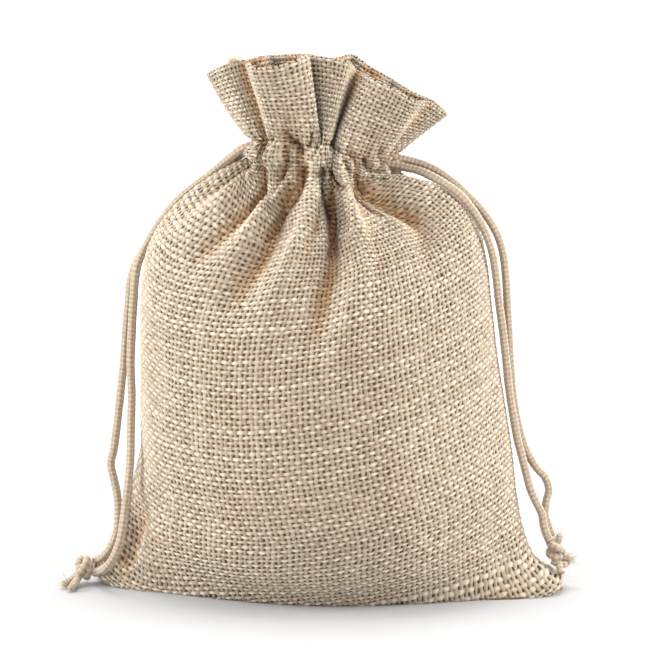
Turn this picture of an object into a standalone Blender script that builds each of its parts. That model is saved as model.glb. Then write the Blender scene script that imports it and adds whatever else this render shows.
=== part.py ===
"""Small drawstring sack of coarse plain-weave cloth, stuffed, standing, its neck drawn shut.

Blender 4.5, metres, +Z up. The front faces -Y and +X is the viewer's right. The origin is on the
surface that the sack stands on, under the middle of its box. The tables are in millimetres.
"""

import math

import bmesh
import bpy
import numpy as np
from mathutils import Vector

MM = 0.001

# Sizes of the cloth before it is gathered
CLOTH_ROUND = 260.0  # once round the mouth: a front and a back of 130 mm
CLOTH_HIGH = 182.0  # from the bottom fold to the rim
SEAMS = (0.0, 130.0)  # thread lines of the left and the right side seam
WALL = 1.0  # thickness of the cloth
LOWER_STITCH = 147.0  # rows of cloth between which the drawcords run
UPPER_STITCH = 156.0
CASING_PUFF = 0.03  # how far the casing swells between them, as a share of its width
GATHER_START = 118.0  # row where the pleats of the neck begin to show in the body
FOLD_FADE = 139.0  # row where the long folds hand over to those pleats
BOX_MIDDLE = (-0.1, -0.4)  # middle of the finished sack's box, which becomes x = y = 0

# Cords
CORD_DIAMETER = 2.4
CORD_STEP = 5.0  # distance between the points that a cord's tube follows
KNOT_VOXEL = 0.62  # grain of the knots' skin

# Mesh density
STEPS_PER_FOLD = 4
BODY_ROWS = (0, 4, 8, 12, 18, 25, 34, 46, 60, 74, 88, 101, 112, 121, 129, 136, 142)
NECK_ROWS = (LOWER_STITCH, 151.5, UPPER_STITCH, 160, 165, 171, 177, CLOTH_HIGH)

# One row for each level of the stuffed body, counted in mm of cloth up from the bottom fold.
# left/right: where the side seams are. front/back: the middle of each face, measured from the
# seams. A height below 0 means that the cloth there is pressed flat on the table. lens: 1 makes
# an ellipse, under 1 a fuller shape with blunt ends. turn: degrees about Z. lead: how far the
# threads have crept to the left.
BODY_COLUMNS = (
    "row", "left_x", "left_z", "right_x", "right_z", "seam_y", "front_y", "front_z", "back_y",
    "back_z", "lens", "turn", "lead",
)
BODY = (
    (0, -65.9, 0.0, 65.0, 0.0, -4.4, -2.0, -1.0, 2.0, -1.0, 1.0, -4.6, 0),
    (4, -65.9, 3.6, 65.0, 3.4, -4.4, -8.4, -11.5, 8.4, -11.5, 0.3, -4.6, 0),
    (8, -65.2, 7.3, 63.0, 4.8, -4.4, -12.0, -11.5, 12.4, -11.5, 0.35, -4.6, 0),
    (16, -61.0, 13.0, 57.0, 9.2, -4.2, -16.2, -6.4, 19.5, -6.4, 0.7, -4.6, 1),
    (24, -58.0, 20.2, 53.8, 16.8, -3.4, -22.8, 1.8, 28.0, 1.8, 1.0, -4.6, 1),
    (34, -55.2, 29.8, 51.8, 26.6, -2.4, -29.4, 9.2, 33.4, 9.2, 1.05, -4.6, 1),
    (46, -52.8, 41.5, 50.4, 38.5, -2.0, -33.6, 20.5, 37.0, 20.5, 1.05, -4.6, 2),
    (60, -52.8, 55.5, 48.2, 52.5, -2.0, -35.0, 34.3, 38.2, 34.3, 1.05, -4.6, 2),
    (74, -52.6, 69.5, 46.0, 66.3, -1.9, -34.8, 48.3, 38.0, 48.3, 1.05, -4.4, 3),
    (88, -52.2, 83.3, 44.2, 80.2, -1.7, -33.2, 62.2, 36.4, 62.2, 1.05, -4.0, 4),
    (101, -50.0, 95.6, 42.6, 93.0, -1.5, -30.6, 74.9, 33.4, 75.2, 1.0, -3.4, 5),
    (112, -44.8, 104.6, 39.8, 103.6, -1.1, -27.1, 85.4, 29.4, 86.0, 1.0, -2.6, 6),
    (121, -37.8, 111.2, 35.8, 110.0, -0.8, -23.6, 93.6, 24.8, 94.6, 1.0, -1.8, 6),
    (129, -31.2, 116.0, 29.6, 113.8, -0.5, -20.0, 100.7, 20.4, 102.0, 1.0, -1.2, 6),
    (136, -26.2, 119.0, 23.4, 115.2, -0.3, -17.0, 107.0, 17.0, 108.6, 1.0, -0.6, 6),
    (142, -23.0, 120.2, 19.4, 115.4, 0.0, -14.8, 112.6, 14.6, 113.8, 1.0, 0, 6),
    (147, -21.0, 120.4, 17.6, 115.0, 0.0, -13.6, 117.4, 13.4, 117.6, 1.0, 0, 6),
)

# One row for each long fold of the body. It starts at its foot, bends at its knee and meets
# thread line neck_cloth under the casing. push: out of the body at its strongest.
FOLD_COLUMNS = (
    "name", "foot_row", "foot_cloth", "knee_row", "knee_cloth", "neck_cloth", "push", "width",
)
FOLDS = (
    ("left shoulder valley", 110, 2, 139, 4, 24, -2.0, 4.5),
    ("left shoulder ridge", 106, 8, 138, 14, 28, 2.4, 6.0),
    ("valley left of the diagonal ridge", 108, 17, 136, 27, 40, -3.0, 4.0),
    ("diagonal ridge", 102, 25, 134, 31, 46, 2.8, 5.0),
    ("valley under the diagonal ridge", 102, 34, 132, 40, 50, -4.0, 4.5),
    ("middle ridge", 96, 43, 133, 50, 56, 2.8, 5.5),
    ("middle valley", 94, 60, 131, 64, 76, -5.0, 5.0),
    ("ridge right of the middle", 94, 70, 133, 78, 97, 3.2, 5.5),
    ("hollow under the cord's mouth", 108, 92, 137, 105, 108, -4.0, 7.0),
    ("right shoulder ridge", 104, 112, 130, 115, 117, 2.0, 6.0),
    ("right shoulder valley", 106, 122, 130, 125, 126, -2.2, 5.0),
    ("back right ridge", 96, 150, 130, 154, 156, 2.4, 6.0),
    ("back right valley", 98, 163, 130, 165, 166, -3.2, 5.5),
    ("back ridge one", 92, 176, 130, 177, 177, 2.6, 6.0),
    ("back middle valley", 92, 188, 130, 187, 187, -3.8, 5.5),
    ("back ridge two", 92, 200, 130, 198, 197, 2.8, 6.0),
    ("back left valley", 96, 213, 130, 209, 208, -3.4, 5.5),
    ("back left ridge", 98, 226, 130, 222, 220, 2.4, 6.0),
    ("left seam valley", 104, 246, 130, 245, 244, -2.2, 6.0),
)

# One row for each short crease. It runs from (low_row, low_cloth) to (high_row, high_cloth)
# and is deepest half way.
CREASE_COLUMNS = ("name", "low_row", "low_cloth", "high_row", "high_cloth", "push", "width")
CREASES = (
    ("left lower corner, crease", 7, 4, 38, 13, -3.0, 4.0),
    ("left lower corner, roll", 10, 12, 40, 22, 1.0, 5.0),
    ("right lower corner, crease", 14, 120, 40, 114, -1.2, 5.0),
    ("dent in the left face", 58, 10, 92, 16, -1.2, 7.0),
    ("dent in the right face", 40, 112, 84, 118, -1.0, 8.0),
    ("top of the middle valley", 130, 64, 153, 82, -4.0, 5.0),
    ("top of the hollow", 128, 100, 153, 108, -2.0, 6.0),
    ("back, left dent", 40, 236, 86, 228, -1.4, 8.0),
    ("back, right dent", 44, 150, 88, 158, -1.4, 8.0),
)

# One row for each ridge or valley of the drawn neck and of the frill above it, once round.
# cloth: its thread line. neck: where it stands in the stitched lines, the upper one at upper_z.
# rim: where it ends. flare: under 1 it leans out at once, over 1 it rises first.
NECK_COLUMNS = (
    "name", "cloth", "neck_x", "neck_y", "upper_z", "rim_x", "rim_y", "rim_z", "flare",
)
NECK = (
    ("left tip", 16, -20.8, -0.5, 124.8, -33.0, 2.0, 142.8, 0.7),
    ("left flap", 24, -19.6, -5.8, 125.2, -28.2, -3.6, 145.4, 0.85),
    ("left flap valley", 32, -16.6, -5.0, 125.6, -23.4, -3.4, 146.6, 1.0),
    ("left panel, first edge", 40, -15.6, -10.8, 126.0, -21.0, -11.4, 145.2, 1.1),
    ("left panel, gather", 48, -9.6, -9.6, 125.0, -13.4, -13.2, 146.0, 1.2),
    ("left panel, right edge", 56, -3.2, -13.4, 124.4, -6.0, -8.6, 148.4, 1.2),
    ("valley behind the left panel", 65, -3.4, -5.2, 124.4, -8.0, 2.6, 147.6, 1.2),
    ("middle panel, left side", 73, -1.8, -11.6, 125.2, -1.6, -4.0, 147.6, 1.2),
    ("middle panel, right edge", 81, -0.2, -12.8, 125.0, 4.9, -7.4, 146.6, 1.2),
    ("hollow", 90, 0.8, -5.0, 124.2, 7.4, 2.6, 143.4, 1.2),
    ("right panel, left edge", 99, 1.8, -12.6, 123.4, 10.6, -7.0, 142.6, 1.3),
    ("right panel, gather", 108, 8.4, -9.6, 120.8, 16.8, -11.4, 139.6, 1.1),
    ("right panel, far edge", 117, 14.4, -9.2, 120.0, 22.8, -9.8, 136.2, 1.0),
    ("right panel valley", 126, 13.0, -3.6, 119.8, 26.6, -3.2, 135.2, 1.0),
    ("right tip", 137, 18.2, 0.6, 121.2, 31.7, 0.2, 131.6, 1.0),
    ("back right flap", 147, 15.8, 6.0, 121.0, 28.0, 5.6, 134.8, 1.0),
    ("back right valley", 156, 11.0, 5.6, 121.6, 22.0, 7.0, 137.4, 1.0),
    ("back ridge one", 166, 11.0, 11.0, 122.4, 17.6, 14.0, 139.4, 1.0),
    ("back valley two", 176, 6.4, 7.2, 123.4, 12.0, 9.4, 143.0, 1.1),
    ("back ridge two", 186, 4.6, 13.0, 124.2, 6.4, 15.4, 146.4, 1.1),
    ("back valley three", 196, 0.8, 7.6, 125.0, 0.6, 10.0, 146.0, 1.1),
    ("back ridge three", 206, -3.0, 13.2, 125.4, -5.4, 15.4, 146.4, 1.1),
    ("back valley four", 216, -6.0, 7.4, 125.8, -10.6, 10.0, 147.0, 1.1),
    ("back ridge four", 226, -10.4, 11.6, 126.0, -16.2, 14.8, 146.2, 1.0),
    ("back valley five", 236, -11.4, 6.2, 126.2, -20.4, 8.4, 146.2, 1.0),
    ("back left ridge", 246, -16.4, 8.2, 126.4, -25.6, 11.4, 144.6, 0.9),
    ("left seam", 257, -17.4, 3.4, 126.6, -28.6, 4.6, 144.2, 0.8),
)


# Routes of the four strands in mm (x, y, z), from beside the casing down to the knots. The two
# strands of a side are the ends of one cord, which runs round inside the casing.
CORDS = {
    "cord_left_front": (
        (-24.1, 0.6, 122.4), (-26.9, 2.7, 120.1), (-30.5, 4.0, 117.0), (-34.1, 4.2, 114.0),
        (-37.7, 4.1, 111.4), (-41.1, 4.2, 108.6), (-44.2, 5.0, 105.2), (-47.1, 5.8, 101.4),
        (-49.7, 5.9, 97.2), (-51.8, 5.2, 93.5), (-53.3, 4.2, 90.0), (-54.1, 3.4, 86.0),
        (-54.6, 2.6, 80.0), (-55.2, 2.0, 71.0), (-55.6, 1.4, 62.0), (-55.4, 0.2, 53.1),
        (-55.6, -2.2, 44.0), (-55.6, -4.8, 37.5), (-56.0, -7.3, 31.0), (-56.6, -9.4, 25.5),
        (-57.2, -11.0, 20.2), (-58.2, -12.2, 14.8), (-60.0, -12.2, 10.2), (-62.2, -10.4, 6.8),
        (-64.2, -6.9, 4.6), (-66.2, -4.9, 3.5),
    ),
    "cord_left_back": (
        (-24.4, 4.4, 120.4), (-28.0, 6.4, 116.9), (-31.4, 6.4, 114.2), (-35.0, 6.3, 111.5),
        (-38.4, 6.5, 108.8), (-41.5, 7.2, 105.8), (-44.8, 8.6, 102.2), (-48.0, 9.6, 98.7),
        (-50.7, 9.3, 95.2), (-52.9, 8.2, 91.8), (-54.7, 7.0, 88.2), (-55.7, 6.0, 84.5),
        (-56.2, 5.2, 79.5), (-57.1, 4.4, 70.5), (-57.8, 3.6, 61.6), (-58.8, 2.8, 52.6),
        (-59.9, 1.4, 43.2), (-60.8, 0.5, 37.1), (-61.5, 0.0, 33.8), (-60.8, -0.6, 30.1),
        (-59.7, -1.9, 25.0), (-59.4, -3.5, 19.6), (-59.9, -5.2, 14.8), (-61.6, -6.2, 10.9),
        (-64.0, -4.8, 7.9), (-66.0, -2.9, 6.5),
    ),
    "cord_right_front": (
        (20.9, -3.0, 117.6), (24.6, -4.2, 116.8), (28.2, -5.8, 115.3), (31.6, -7.2, 113.5),
        (35.2, -8.1, 110.9), (38.3, -7.6, 107.2), (40.8, -7.0, 103.2), (42.7, -6.8, 99.2),
        (44.1, -6.6, 95.0), (45.3, -6.4, 88.4), (46.1, -6.3, 81.7), (47.4, -6.2, 72.7),
        (48.5, -6.1, 63.7), (49.6, -6.0, 54.6), (50.8, -6.2, 47.8), (51.9, -6.5, 42.1),
        (53.1, -6.9, 37.6), (54.3, -7.3, 33.0), (55.6, -7.7, 28.3), (57.3, -8.0, 24.5),
        (58.8, -8.1, 21.4), (59.4, -8.2, 18.0), (60.2, -8.2, 15.6), (60.9, -8.0, 13.9),
    ),
    "cord_right_back": (
        (21.3, 0.6, 119.2), (25.0, 0.4, 118.2), (29.4, -0.6, 116.3), (33.8, -1.8, 113.4),
        (37.6, -2.6, 109.9), (41.3, -3.0, 106.1), (44.0, -3.1, 102.3), (46.1, -3.0, 98.2),
        (47.3, -2.9, 94.1), (48.2, -2.8, 87.6), (48.7, -2.7, 81.0), (49.3, -2.6, 72.0),
        (49.9, -2.6, 62.9), (50.8, -2.6, 53.8), (52.0, -2.8, 46.9), (53.5, -3.0, 41.2),
        (55.5, -3.2, 36.6), (57.7, -3.4, 33.2), (60.0, -3.6, 30.6), (61.0, -3.8, 27.3),
        (60.3, -4.2, 23.9), (60.0, -4.6, 20.6), (60.9, -4.9, 17.2), (61.9, -5.2, 14.3),
    ),
}

# The knots, each as the strands that make it. A wrap goes once round the two cords.
KNOTS = {
    "knot_left": {
        "core": ((-68.6, -3.6, 4.6), (-69.8, -3.6, 3.9), (-71.0, -4.2, 3.2)),
        "wrap": (
            (-68.3, -3.4, 6.2), (-68.9, -5.6, 5.2), (-69.8, -6.0, 2.6), (-70.2, -3.8, 1.5),
            (-69.7, -1.6, 2.4), (-69.0, -1.2, 5.0), (-69.6, -2.6, 6.4), (-70.6, -4.8, 5.6),
        ),
        "first tail": ((-70.6, -4.2, 3.2), (-72.2, -6.6, 2.2), (-74.4, -9.4, 1.5)),
        "second tail": ((-70.4, -5.2, 2.6), (-71.2, -8.8, 1.8), (-71.9, -12.2, 1.4)),
    },
    "knot_right": {
        "core": ((62.0, -7.0, 11.8), (62.8, -7.4, 10.0), (63.2, -7.6, 8.2)),
        "upper wrap": (
            (61.6, -8.2, 11.6), (63.4, -8.8, 11.0), (64.2, -7.2, 10.6), (63.2, -5.8, 10.4),
            (61.8, -6.2, 10.2), (61.6, -7.8, 9.8),
        ),
        "lower wrap": (
            (62.2, -8.8, 9.0), (63.8, -9.0, 8.4), (64.8, -7.4, 8.2), (63.8, -6.2, 8.0),
            (62.4, -6.8, 8.0),
        ),
        "cut tail": ((63.0, -7.0, 11.4), (63.8, -7.0, 13.0), (64.3, -6.8, 14.2)),
        "frayed tail": ((63.8, -7.6, 8.6), (65.6, -7.8, 8.2), (67.0, -7.9, 7.8)),
        "front tail": ((63.6, -9.2, 8.4), (63.9, -10.6, 7.2), (64.0, -11.8, 5.6)),
    },
}


def column(table, columns, name):
    return np.array([row[columns.index(name)] for row in table], float)


def curve_through(knots, values, wanted, overshoot):
    """A smooth curve through the values at the knots, read at the wanted places."""
    step = np.diff(knots)
    rise = np.diff(values) / step
    slope = np.empty(len(knots))
    slope[1:-1] = (rise[:-1] * step[1:] + rise[1:] * step[:-1]) / (step[1:] + step[:-1])
    slope[0], slope[-1] = rise[0], rise[-1]
    if not overshoot:
        limit = 3 * np.minimum(np.abs(rise[:-1]), np.abs(rise[1:]))
        turns = rise[:-1] * rise[1:] <= 0
        slope[1:-1] = np.where(turns, 0, np.clip(slope[1:-1], -limit, limit))
    i = np.clip(np.searchsorted(knots, wanted, side="right") - 1, 0, len(step) - 1)
    t = (wanted - knots[i]) / step[i]
    return (
        values[i] * (1 + 2 * t) * (1 - t) ** 2
        + slope[i] * step[i] * t * (1 - t) ** 2
        + values[i + 1] * t**2 * (3 - 2 * t)
        - slope[i + 1] * step[i] * t**2 * (1 - t)
    )


def closed_curve(knots, values, wanted):
    """The same for a curve that closes after one turn of the cloth."""
    knots = np.concatenate([knots[-2:] - CLOTH_ROUND, knots, knots[:2] + CLOTH_ROUND])
    values = np.concatenate([values[-2:], values, values[:2]])
    first = knots[2]
    return curve_through(knots, values, (wanted - first) % CLOTH_ROUND + first, True)


def ease(value):
    """0 up to 1 with a soft start and end."""
    value = np.clip(value, 0, 1)
    return value * value * (3 - 2 * value)


def even_angles(half_width, half_depth, shares):
    """Angles on an ellipse that part its edge into the given shares of its length."""
    angle = np.linspace(0, 2 * math.pi, 361)
    leg = np.hypot(np.diff(half_width * np.cos(angle)), np.diff(half_depth * np.sin(angle)))
    length = np.concatenate([[0], np.cumsum(leg)])
    return np.interp(shares % 1, length / length[-1], angle)


def body_ring(level, cloth):
    """One row of the cloth round the stuffed body, with no folds. Angle 0 is the left seam."""
    half_width = (level["right_x"] - level["left_x"]) / 2
    half_depth = (level["back_y"] - level["front_y"]) / 2
    angle = even_angles(half_width, half_depth, (cloth + level["lead"]) / CLOTH_ROUND)
    along = (1 - np.cos(angle)) / 2
    bulge = np.abs(np.sin(angle))
    front = np.sin(angle) > 0
    x = level["left_x"] + along * 2 * half_width
    y = np.where(front, level["front_y"], level["back_y"]) * bulge ** level["lens"]
    side_z = level["left_z"] + along * (level["right_z"] - level["left_z"])
    face_z = np.where(front, level["front_z"], level["back_z"])
    z = side_z + (face_z - side_z) * bulge**1.3
    turn = math.radians(level["turn"])
    turned_x = x * math.cos(turn) - y * math.sin(turn)
    turned_y = x * math.sin(turn) + y * math.cos(turn) + level["seam_y"]
    return np.stack([turned_x, turned_y, np.maximum(z, 0)], axis=-1)


def outward(grid):
    """Unit normals of a grid of rows and columns that closes round each row."""
    round_it = np.roll(grid, -1, axis=1) - np.roll(grid, 1, axis=1)
    up = np.gradient(grid, axis=0)
    normal = np.cross(round_it, up)
    return normal / np.maximum(np.linalg.norm(normal, axis=2, keepdims=True), 1e-9)


def ripple(cloth, line, width):
    """1 on a thread line and fading to 0 beside it, once round the cloth."""
    away = (cloth - line + CLOTH_ROUND / 2) % CLOTH_ROUND - CLOTH_ROUND / 2
    return np.exp(-((away / width) ** 2))


def fold_push(cloth, row):
    """How far the folds and creases push the body out at this row."""
    push = np.zeros(len(cloth))
    for name, foot_row, foot, knee_row, knee, neck, depth, width in FOLDS:
        grown = ease((row - foot_row) / (knee_row - foot_row))
        route = np.array([foot_row, knee_row, LOWER_STITCH], float)
        line = curve_through(route, np.array([foot, knee, neck], float), np.array([row]), False)
        push += depth * math.sqrt(grown) * ripple(cloth, line, width * (1 - 0.4 * grown))
    for name, low_row, low, high_row, high, depth, width in CREASES:
        along = np.clip((row - low_row) / (high_row - low_row), 0, 1)
        line = low + (high - low) * along
        push += depth * math.sin(math.pi * along) * ripple(cloth, line, width)
    return push


def neck_ring(cloth, *names):
    """The named columns of NECK as smooth curves round the cloth."""
    knots = column(NECK, NECK_COLUMNS, "cloth")
    return np.stack(
        [closed_curve(knots, column(NECK, NECK_COLUMNS, name), cloth) for name in names], axis=-1
    )


def body_level(row):
    """The row of BODY at any height of the cloth, read off smooth curves."""
    rows = column(BODY, BODY_COLUMNS, "row")
    wanted = np.array([min(row, LOWER_STITCH)])
    return {
        name: float(curve_through(rows, column(BODY, BODY_COLUMNS, name), wanted, False)[0])
        for name in BODY_COLUMNS[1:]
    }


def sack_surface(cloth, rows):
    """Points of the cloth's outside in mm, one row of the cloth after another."""
    levels = [body_level(row) for row in rows]
    grid = np.array([body_ring(level, cloth) for level in levels])
    normal = outward(grid)
    stitched = body_ring(body_level(LOWER_STITCH), cloth)
    lower = np.concatenate([neck_ring(cloth, "neck_x", "neck_y"), stitched[:, 2:]], axis=1)
    upper = neck_ring(cloth, "neck_x", "neck_y", "upper_z")
    rim = neck_ring(cloth, "rim_x", "rim_y", "rim_z")
    flare = neck_ring(cloth, "flare")
    for i, row in enumerate(rows):
        if row < LOWER_STITCH:
            fade = 1 - ease((row - FOLD_FADE) / (LOWER_STITCH - FOLD_FADE))
            gather = ease((row - GATHER_START) / (LOWER_STITCH - GATHER_START)) ** 1.5
            grid[i] += normal[i] * (fold_push(cloth, row) * fade)[:, None]
            grid[i] += (lower - stitched) * gather
        elif row <= UPPER_STITCH:
            up = (row - LOWER_STITCH) / (UPPER_STITCH - LOWER_STITCH)
            swell = 1 + CASING_PUFF * math.sin(math.pi * up)
            grid[i] = (lower + (upper - lower) * up) * (swell, swell, 1)
        else:
            up = (row - UPPER_STITCH) / (CLOTH_HIGH - UPPER_STITCH)
            grid[i] = upper + (rim - upper) * up ** np.concatenate(
                [flare, flare, np.ones_like(flare)], axis=1
            )
    grid[:, :, 2] = np.maximum(grid[:, :, 2], 0)
    return grid - (*BOX_MIDDLE, 0)


def fabric(name, colour):
    material = bpy.data.materials.new(name)
    material.use_nodes = True
    shader = material.node_tree.nodes["Principled BSDF"]
    shader.inputs["Base Color"].default_value = (*colour, 1)
    shader.inputs["Roughness"].default_value = 0.9
    shader.inputs["Metallic"].default_value = 0
    material.diffuse_color = (*colour, 1)
    return material


def clear_scene():
    for obj in list(bpy.data.objects):
        bpy.data.objects.remove(obj, do_unlink=True)


def thread_columns():
    """Thread lines of the mesh's columns: a few to each pleat, and one on each side seam."""
    edges = column(NECK, NECK_COLUMNS, "cloth")
    ends = np.append(edges[1:], edges[0] + CLOTH_ROUND)
    cloth = np.concatenate(
        [np.linspace(a, b, STEPS_PER_FOLD, endpoint=False) for a, b in zip(edges, ends)]
    )
    for seam in SEAMS:
        away = (cloth - seam + CLOTH_ROUND / 2) % CLOTH_ROUND - CLOTH_ROUND / 2
        nearest = np.abs(away).argmin()
        cloth[nearest] -= away[nearest]
    return cloth


def make_sack(collection):
    """A tube of cloth shaped on a grid, closed under the bottom, with its wall turned inwards."""
    cloth = thread_columns()
    rows = (*BODY_ROWS, *NECK_ROWS)
    grid = sack_surface(cloth, rows) * MM
    bm = bmesh.new()
    bmesh.ops.create_grid(bm, x_segments=len(cloth), y_segments=len(rows) - 1, size=1)
    for vertex in bm.verts:
        across = round((vertex.co.x + 1) / 2 * len(cloth)) % len(cloth)
        up = round((vertex.co.y + 1) / 2 * (len(rows) - 1))
        vertex.co = Vector(grid[up, across])
    bmesh.ops.remove_doubles(bm, verts=bm.verts, dist=1e-6)
    bottom = [edge for edge in bm.edges if edge.is_boundary and edge.verts[0].co.z < 0.05]
    bmesh.ops.contextual_create(bm, geom=bottom)
    bmesh.ops.recalc_face_normals(bm, faces=bm.faces)
    mesh = bpy.data.meshes.new("sack")
    bm.to_mesh(mesh)
    bm.free()
    mesh.shade_smooth()
    sack = bpy.data.objects.new("sack", mesh)
    collection.objects.link(sack)
    wall = sack.modifiers.new("Wall", "SOLIDIFY")
    wall.thickness = WALL * MM
    wall.offset = -1
    mesh.materials.append(fabric("Cloth", (0.55, 0.44, 0.33)))
    return sack


def smooth_route(route, step):
    """Points one step apart along a smooth curve through the route's points."""
    points = np.array(route, float) - (*BOX_MIDDLE, 0)
    leg = np.linalg.norm(np.diff(points, axis=0), axis=1)
    length = np.concatenate([[0], np.cumsum(leg)])
    wanted = np.linspace(0, length[-1], max(round(length[-1] / step), 2) + 1)
    return np.stack([curve_through(length, points[:, i], wanted, True) for i in range(3)], axis=1)


def make_cord(name, route, collection):
    """A round tube with closed ends along the route."""
    points = smooth_route(route, CORD_STEP) * MM
    curve = bpy.data.curves.new(name, "CURVE")
    curve.dimensions = "3D"
    curve.bevel_depth = CORD_DIAMETER / 2 * MM
    curve.bevel_resolution = 2
    curve.use_fill_caps = True
    spline = curve.splines.new("POLY")
    spline.points.add(len(points) - 1)
    for point, place in zip(spline.points, points):
        point.co = (*place, 1)
    curve.materials.append(fabric(name, (0.62, 0.52, 0.40)))
    collection.objects.link(bpy.data.objects.new(name, curve))


def make_knot(name, strands, collection):
    """Balls set along each strand of the knot, fused into one skin."""
    bm = bmesh.new()
    for strand, route in strands.items():
        radius = CORD_DIAMETER / 2 * (1.5 if strand == "core" else 1) * MM
        for place in smooth_route(route, CORD_DIAMETER / 5) * MM:
            ball = bmesh.ops.create_icosphere(bm, subdivisions=2, radius=radius)
            bmesh.ops.translate(bm, verts=ball["verts"], vec=Vector(place))
    mesh = bpy.data.meshes.new(name)
    bm.to_mesh(mesh)
    bm.free()
    mesh.materials.append(fabric(name, (0.62, 0.52, 0.40)))
    knot = bpy.data.objects.new(name, mesh)
    collection.objects.link(knot)
    skin = knot.modifiers.new("Skin", "REMESH")
    skin.mode = "VOXEL"
    skin.voxel_size = KNOT_VOXEL * MM


def main():
    clear_scene()
    collection = bpy.data.collections.new("Drawstring sack")
    bpy.context.scene.collection.children.link(collection)
    make_sack(collection)
    for name, route in CORDS.items():
        make_cord(name, route, collection)
    for name, strands in KNOTS.items():
        make_knot(name, strands, collection)


main()
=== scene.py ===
# %% [markdown]
# # A small burlap drawstring sack
# The real thing is a pouch of coarse jute cloth. Its top is folded over and sewn down twice, which
# leaves a casing for two braided cords. Pulling both cords shuts the neck, so the cloth above it
# stands up as a frill and the cloth below it fans out in folds. We first work out where the cloth
# lies, then lay the cords beside it, and then weave the threads that lie on it.

import math

import bmesh
import bpy
import numpy as np
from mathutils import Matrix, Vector


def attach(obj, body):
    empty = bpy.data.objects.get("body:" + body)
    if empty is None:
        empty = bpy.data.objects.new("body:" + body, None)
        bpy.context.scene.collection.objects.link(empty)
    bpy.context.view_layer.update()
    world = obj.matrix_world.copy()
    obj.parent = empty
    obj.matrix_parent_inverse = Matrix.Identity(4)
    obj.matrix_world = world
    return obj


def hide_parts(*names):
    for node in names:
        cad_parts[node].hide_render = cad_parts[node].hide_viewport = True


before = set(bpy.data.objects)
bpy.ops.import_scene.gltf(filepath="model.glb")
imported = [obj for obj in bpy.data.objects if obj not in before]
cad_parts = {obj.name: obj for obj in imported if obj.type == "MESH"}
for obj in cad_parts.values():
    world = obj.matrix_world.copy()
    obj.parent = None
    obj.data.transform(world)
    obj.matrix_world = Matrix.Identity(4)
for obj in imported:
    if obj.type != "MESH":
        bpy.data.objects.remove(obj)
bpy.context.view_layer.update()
MM = 0.001

# %% [markdown]
# ## Camera
# A long lens from 0.7 m away and a little above keeps the sack's sides nearly parallel, as a
# product photographer would have them.


# %% Set the camera
def in_the_scene(name, data):
    """A new object that holds the data, linked to the scene."""
    thing = bpy.data.objects.new(name, data)
    bpy.context.scene.collection.objects.link(thing)
    return thing


TARGET = Vector((0.0007, 0.0, 0.0713))
CAMERA_RISE = math.radians(11.5)
CAMERA_AWAY = 0.70
camera_data = bpy.data.cameras.new("camera")
camera_data.lens = 136.8
camera_data.sensor_width = 36.0
camera = in_the_scene("camera", camera_data)
towards = Vector((0, math.cos(CAMERA_RISE), -math.sin(CAMERA_RISE)))
camera.location = TARGET - towards * CAMERA_AWAY
camera.rotation_euler = towards.to_track_quat("-Z", "Y").to_euler()
bpy.context.scene.camera = camera
print("camera at", [round(value, 3) for value in camera.location])

# %% [markdown]
# ## Where the cloth lies
# Cloth is easiest to describe in its own terms. A point on it has a thread line, counted in
# millimetres round the mouth from the left seam, and a row, counted in millimetres up from the
# bottom fold. Short tables then say where some of the rows and folds lie in the real sack, and
# smooth curves fill in the rest.

# %% Sizes of the cloth
CLOTH_ROUND = 260.0
CLOTH_HIGH = 182.0
LOWER_STITCH = 147.0
UPPER_STITCH = 156.0
CASING_PUFF = 0.03
GATHER_START = 118.0
FOLD_FADE = 139.0
BOX_MIDDLE = (-0.1, -0.4)

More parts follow.
